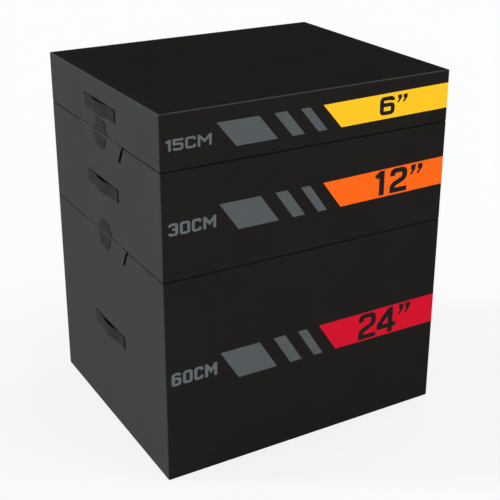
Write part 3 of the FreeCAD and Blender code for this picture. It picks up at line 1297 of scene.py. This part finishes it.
def trace(points, lift):
    """Draws a line of vertices on the front through (x, z) places."""
    corners = [Vector((x, -half_depth - lift, z)) for x, z in points]
    bpy.ops.mesh.select_all(action="DESELECT")
    bpy.ops.mesh.primitive_plane_add(size=speck, location=corners[0])
    bpy.ops.mesh.merge(type="CENTER")
    for first, last in zip(corners, corners[1:]):
        bpy.ops.mesh.extrude_vertices_move(TRANSFORM_OT_translate={"value": last - first})


def print_area(name, outlines, lift, wrap_edge=False):
    """A film of filled outlines, wrapped over the right edge if asked."""
    piece = start_print(name)
    for points in outlines:
        trace(points, lift)
        bpy.ops.mesh.select_linked()
        bpy.ops.mesh.edge_face_add()
    if wrap_edge:
        pick("EDGE", lambda place, edge: place.x > half_width - edge_radius - same_level)
        spin_by(wrap_turn, (half_width - edge_radius, -half_depth + edge_radius), steps=5)
    weld()
    face_outwards()
    facing = bmesh.from_edit_mesh(piece.data)
    facing.faces.ensure_lookup_table()
    if facing.faces[0].normal.y > 0:
        bpy.ops.mesh.flip_normals()
    close()
    harden(piece, "SOLIDIFY", thickness=film, offset=-1)
    return piece


print("film thickness:", film)

# %% [markdown]
# Each front has a row of three slanted bars and a band, between two heights above the block's
# foot. The three rows aren't quite alike, so each has its own heights and its own place across, and
# the band rises or widens by a few millimetres towards its end.

# %% Print the bars and bands
slant_drop = 0.0576
bars = {"wide": (-0.2902, -0.1651), "first": (-0.1194, -0.0807), "second": (-0.0380, -0.0083)}
band_start = 0.0344
band_drop = 0.0606
print_rows = {"24": (0.2674, 0.3597, 0.0), "12": (0.1090, 0.1906, 0.0), "6": (0.0375, 0.1084, -0.006)}
band_rises = {"24": (-0.0014, 0.0011), "12": (0.0041, 0.0075), "6": (0.0039, 0.0068)}
for name, (bottom, top, shift) in print_rows.items():
    base = blocks[name][0].z
    low, high = base + bottom, base + top
    outlines = []
    for edges in bars.values():
        left, right = (edge + shift for edge in edges)
        low_left, low_right = left + slant_drop, right + slant_drop
        outlines.append([(left, high), (low_left, low), (low_right, low), (right, high)])
    slashes = print_area(f"print_bars_{name}", outlines, film)
    start = band_start + shift
    end = half_width - edge_radius
    rises = band_rises[name]
    outline = [(start, high), (start + band_drop, low), (end, low + rises[0]), (end, high + rises[1])]
    band = print_area(f"print_band_{name}", [outline], film, wrap_edge=True)
    for piece, ink in ((slashes, grey_ink), (band, inks[name])):
        dress(piece, ink)
        fit(piece, f"box_{name}", "vinyl")
    reach = max(vertex.co.x for vertex in band.data.vertices)
    print(name, "bars:", len(outlines), "band reaches", round(reach, 4))

# %% [markdown]
# Figures are drawn as strokes, the way a signwriter does: each one is a line on a small grid, from
# 0 to 1 across and up. A corner marked 1 is rounded, and an end marked 2 runs on to the edge of its
# box. That needs no font file.

# %% Lay out the figures
strokes = {
    "0": [[(0.5, 1, 0), (1, 1, 1), (1, 0, 1), (0, 0, 1), (0, 1, 1), (0.5, 1, 0)]],
    "1": [[(1, 1, 2), (1, 0, 2)], [(0, 0.82, 0), (0.8, 0.99, 0)]],
    "2": [[(0, 0.74, 0), (0, 1, 1), (1, 1, 1), (1, 0.56, 1), (0, 0.28, 1), (0, 0, 0), (1, 0, 2)]],
    "3": [[(0, 0.80, 0), (0, 1, 1), (1, 1, 1), (1, 0, 1), (0, 0, 1), (0, 0.20, 0)],
          [(0.35, 0.52, 0), (1, 0.52, 0)]],
    "4": [[(0.68, 0.97, 0), (0, 0.36, 0), (0, 0.24, 0), (1, 0.24, 2)], [(0.77, 1, 2), (0.77, 0, 2)]],
    "5": [[(1, 1, 2), (0, 1, 0), (0, 0.56, 0), (1, 0.56, 1), (1, 0, 1), (0, 0, 1), (0, 0.20, 0)]],
    "6": [[(1, 0.82, 0), (1, 1, 1), (0, 1, 1), (0, 0, 1), (1, 0, 1), (1, 0.56, 1), (0.5, 0.56, 0)],
          [(0.5, 0.56, 0), (0, 0.56, 0)]],
    "C": [[(1, 0.74, 0), (1, 1, 1), (0, 1, 1), (0, 0, 1), (1, 0, 1), (1, 0.26, 0)]],
    "M": [[(0, 0, 2), (0, 1, 2)], [(0.08, 0.94, 0), (0.5, 0.40, 0), (0.92, 0.94, 0)],
          [(1, 0, 2), (1, 1, 2)]],
}
set_widths = {
    "0": 1.0, "1": 0.55, "2": 0.88, "3": 0.95, "4": 0.98, "5": 0.96, "6": 1.0, "C": 0.96, "M": 1.28,
}


def run_on(line, marks, amount):
    """Moves the marked ends of a line outwards."""
    line = [Vector(spot) for spot in line]
    if marks[0] == 2:
        line[0] += (line[0] - line[1]).normalized() * amount
    if marks[-1] == 2:
        line[-1] += (line[-1] - line[-2]).normalized() * amount
    return line


def lay_out(text, left, right, low, high, weight, gap):
    """The stroke lines of a text set into a box, each with its layer, and the corners to round."""
    unit = (right - left) / (sum(set_widths[letter] for letter in text) + gap * (len(text) - 1))
    half = weight / 2
    lines = []
    rounded = []
    start = left
    for letter in text:
        width = set_widths[letter] * unit
        for layer, stroke in enumerate(strokes[letter]):
            marks = [mark for x, z, mark in stroke]
            line = [(start + half + x * (width - weight), low + half + z * (high - low - weight))
                    for x, z, mark in stroke]
            rounded += [spot for spot, mark in zip(line, marks) if mark == 1]
            lines.append((layer, run_on(line, marks, half)))
        start += width + gap * unit
    return lines, rounded


print("figures:", " ".join(strokes))

# %% [markdown]
# A Solidify modifier widens each line to its stroke. Where a figure has two lines, the second lies
# a hair above the first, so the two never fight for the same plane. The figures are drawn narrow
# and stretched sideways, which makes the uprights heavier than the bars.

# %% Widen the strokes
stretch = 1.2
corner_share = 0.55
layer_step = 0.00002


def print_text(name, text, box, weight, lift, gap):
    """Figures as a film on the front, drawn about their left end and stretched from it."""
    left, right, low, high = box
    lines, rounded = lay_out(text, 0, (right - left) / stretch, low, high, weight, gap)
    piece = start_print(name)
    for layer, line in lines:
        trace(line, lift + layer_step * layer)
    weld()

    def at_corner(place, vertex):
        return any(abs(place.x - x) + abs(place.z - z) < same_point for x, z in rounded)

    pick("VERT", at_corner)
    bpy.ops.mesh.bevel(offset=weight * corner_share, segments=4, affect="VERTICES")
    pick_all()
    bpy.ops.mesh.extrude_edges_move(TRANSFORM_OT_translate={"value": (0, film, 0)})
    face_outwards()
    close()
    harden(piece, "SOLIDIFY", thickness=weight, offset=0, use_even_offset=True)
    piece.data.transform(Matrix.Translation((left, 0, 0)) @ Matrix.Diagonal((stretch, 1, 1, 1)))
    edit(piece)
    face_outwards()
    close()
    return piece


print("figures are stretched by", stretch)

# %% [markdown]
# Every front carries its height twice: in inches on the band, with two ticks as the mark for
# inches, and in centimetres at the left end of the row. A figure is placed by its left, right,
# lower and upper side, in metres from the middle of the front and from the block's foot. Its weight
# is a share of its height, and the gap to the next a share of a figure's width.

# %% Print the figures
tick = [(0.16, 1.0), (1.0, 1.0), (0.96, 0.56), (0.26, 0.0), (0.0, 0.12), (0.42, 0.52), (0.12, 0.56)]
inches = {
    "24": ("24", 0.180, 0.06, (0.1762, 0.3142, 0.2716, 0.3553)),
    "12": ("12", 0.200, 0.29, (0.2063, 0.3249, 0.1164, 0.1908)),
    "6": ("6", 0.215, 0.0, (0.2158, 0.2668, 0.0500, 0.1028)),
}
inch_ticks = {
    "24": (0.034, (0.3222, 0.3425), (0.3466, 0.3668)),
    "12": (0.031, (0.3355, 0.3553), (0.3603, 0.3801)),
    "6": (0.023, (0.2749, 0.2908), (0.2940, 0.3106)),
}
metric_weight = 0.195
metric_gap = 0.17
centimetres = {
    "24": ("60CM", (-0.4412, -0.3012, 0.2970, 0.3370)),
    "12": ("30CM", (-0.4386, -0.3001, 0.1292, 0.1643)),
    "6": ("15CM", (-0.4426, -0.3105, 0.0533, 0.0840)),
}
for name in blocks:
    base = blocks[name][0].z
    text, weight, gap, (left, right, low, high) = inches[name]
    drop, *marks = inch_ticks[name]
    box = (left, right, base + low, base + high)
    figure = print_text(f"print_inches_{name}", text, box, weight * (high - low), 2 * film, gap)
    outlines = []
    for start, end in marks:
        outlines.append([(start + x * (end - start), base + high - (1 - z) * drop) for x, z in tick])
    ticks = print_area(f"print_ticks_{name}", outlines, 2 * film)
    text, (left, right, low, high) = centimetres[name]
    box = (left, right, base + low, base + high)
    weight = metric_weight * (high - low)
    metric = print_text(f"print_metric_{name}", text, box, weight, film, metric_gap)
    for piece, ink in ((figure, black_ink), (ticks, black_ink), (metric, pale_ink)):
        dress(piece, ink)
        fit(piece, f"box_{name}", "vinyl")
    print(name, "figures:", len(figure.data.polygons), "faces,", text)
